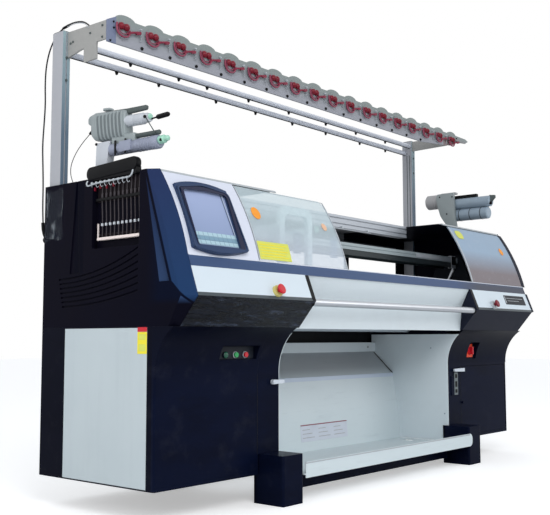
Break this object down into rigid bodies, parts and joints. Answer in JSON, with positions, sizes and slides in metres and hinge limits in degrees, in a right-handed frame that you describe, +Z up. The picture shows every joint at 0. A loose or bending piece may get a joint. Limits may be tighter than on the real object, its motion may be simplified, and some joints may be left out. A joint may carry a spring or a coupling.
{
  "type": "flat knitting machine",
  "caption": "Computerised flat knitting machine with slanted front, clear sliding covers, V needle beds, parked carriage, overhead yarn stand and two end cabinets.",
  "frame": {"origin": "centre of the base of the whole machine, on the floor", "axes": "+X along the needle beds to the operator's right, +Y from the operator towards the rear, +Z up"},
  "size_m": [3.814, 1.1974, 2.4874],
  "materials": {
    "black_paint": "satin",
    "grey_paint": "satin",
    "white_paint": "satin",
    "blue_plastic": "gloss",
    "screen_glass": "gloss",
    "blue_anodised": "satin",
    "clear_plastic": "gloss",
    "aluminium": "satin",
    "steel": "satin",
    "cast": "satin",
    "carriage": "satin",
    "red_plastic": "gloss",
    "green_plastic": "gloss",
    "dark_plastic": "matte",
    "feeder_plastic": "gloss",
    "cable_rubber": "matte"
  },
  "bodies": {
    "frame": {"base_frame": "black_paint", "bed_frame": "cast", "cloth_bar": "white_paint", "cloth_chute": "white_paint", "cloth_tray": "white_paint", "feeder_cable": "cable_rubber", "front_base_beam": "white_paint", "front_needle_bed": "steel", "front_rail": "blue_anodised", "front_yarn_rail": "aluminium", "front_yarn_tube": "aluminium", "left_arm": "aluminium", "left_back_cover": "black_paint", "left_cabinet": "black_paint", "left_control_strip": "white_paint", "left_fascia": "white_paint", "left_feeder_body": "feeder_plastic", "left_inner_panel": "white_paint", "left_pillar_cover": "black_paint", "left_post": "aluminium", "left_service_panel": "grey_paint", "left_side_panel": "black_paint", "left_side_tensioner": "dark_plastic", "left_underside": "black_paint", "lower_front_cover": "white_paint", "middle_roof": "black_paint", "post_cable": "cable_rubber", "rear_needle_bed": "steel", "rear_yarn_rail": "aluminium", "rear_yarn_tube": "aluminium", "right_arm": "aluminium", "right_back_cover": "black_paint", "right_cabinet": "black_paint", "right_control_strip": "white_paint", "right_feeder_body": "feeder_plastic", "right_inner_panel": "white_paint", "right_pillar_cover": "black_paint", "right_post": "aluminium", "right_side_panel": "black_paint", "right_underside": "black_paint", "screen": "screen_glass", "screen_bezel": "blue_plastic", "tension_beam": "aluminium", "top_beam": "aluminium", "upper_front_cover": "white_paint"},
    "knitting_carriage": {"knitting_carriage": "carriage"},
    "left_cover": {"left_clear_cover": "clear_plastic"},
    "right_cover": {"right_clear_cover": "clear_plastic"},
    "rod": {"operating_rod": "steel"},
    "left_stop": {"left_stop_button": "red_plastic"},
    "right_stop": {"right_stop_button": "red_plastic"},
    "start": {"start_button": "green_plastic"},
    "stop": {"stop_button": "red_plastic"},
    "power_knob": {"power_switch_knob": "red_plastic"},
    "door": {"cabinet_door": "black_paint"},
    "door_latch": {"door_lever": "dark_plastic"},
    "pillar_latch": {"left_lever": "dark_plastic"},
    "carrier": {"yarn_carrier": "steel"},
    "roller": {"takedown_roller": "steel"}
  },
  "joints": [
    {"name": "carriage_slide", "type": "slide", "parent": "frame", "child": "knitting_carriage", "axis": [1, 0, 0], "range_m": [-0.74, 1.72]},
    {"name": "left_cover_slide", "type": "slide", "parent": "frame", "child": "left_cover", "axis": [1, 0, 0], "range_m": [0, 0.7]},
    {"name": "right_cover_slide", "type": "slide", "parent": "frame", "child": "right_cover", "axis": [1, 0, 0], "range_m": [-0.7, 0]},
    {"name": "carrier_slide", "type": "slide", "parent": "frame", "child": "carrier", "axis": [1, 0, 0], "range_m": [-2.87, 0.04]},
    {"name": "rod_turn", "type": "hinge", "parent": "frame", "child": "rod", "pos_m": [-0.14, -0.49951, 1.017], "axis": [1, 0, 0], "range_deg": [-20, 20]},
    {"name": "roller_spin", "type": "hinge", "parent": "frame", "child": "roller", "pos_m": [-0.14, 0.01549, 0.905], "axis": [1, 0, 0], "continuous": true},
    {"name": "left_stop_press", "type": "slide", "parent": "frame", "child": "left_stop", "axis": [0, 0.9332, -0.3594], "range_m": [0, 0.005], "stiffness_N_per_m": 600},
    {"name": "right_stop_press", "type": "slide", "parent": "frame", "child": "right_stop", "axis": [0, 0.9332, -0.3594], "range_m": [0, 0.005], "stiffness_N_per_m": 600},
    {"name": "start_press", "type": "slide", "parent": "frame", "child": "start", "axis": [0, 1, 0], "range_m": [0, 0.004], "stiffness_N_per_m": 400},
    {"name": "stop_press", "type": "slide", "parent": "frame", "child": "stop", "axis": [0, 1, 0], "range_m": [0, 0.004], "stiffness_N_per_m": 400},
    {"name": "power_turn", "type": "hinge", "parent": "frame", "child": "power_knob", "pos_m": [1.075, -0.28451, 0.7465], "axis": [0, 1, 0], "range_deg": [0, 90]},
    {"name": "door_hinge", "type": "hinge", "parent": "frame", "child": "door", "pos_m": [1.587, -0.28651, 0.4025], "axis": [0, 0, 1], "range_deg": [0, 110]},
    {"name": "door_lever_turn", "type": "hinge", "parent": "door", "child": "door_latch", "pos_m": [0.932, -0.29451, 0.616], "axis": [0, -1, 0], "range_deg": [0, 90]},
    {"name": "left_lever_turn", "type": "hinge", "parent": "frame", "child": "pillar_latch", "pos_m": [-1.085, -0.29451, 0.608], "axis": [0, 1, 0], "range_deg": [0, 90]}
  ]
}
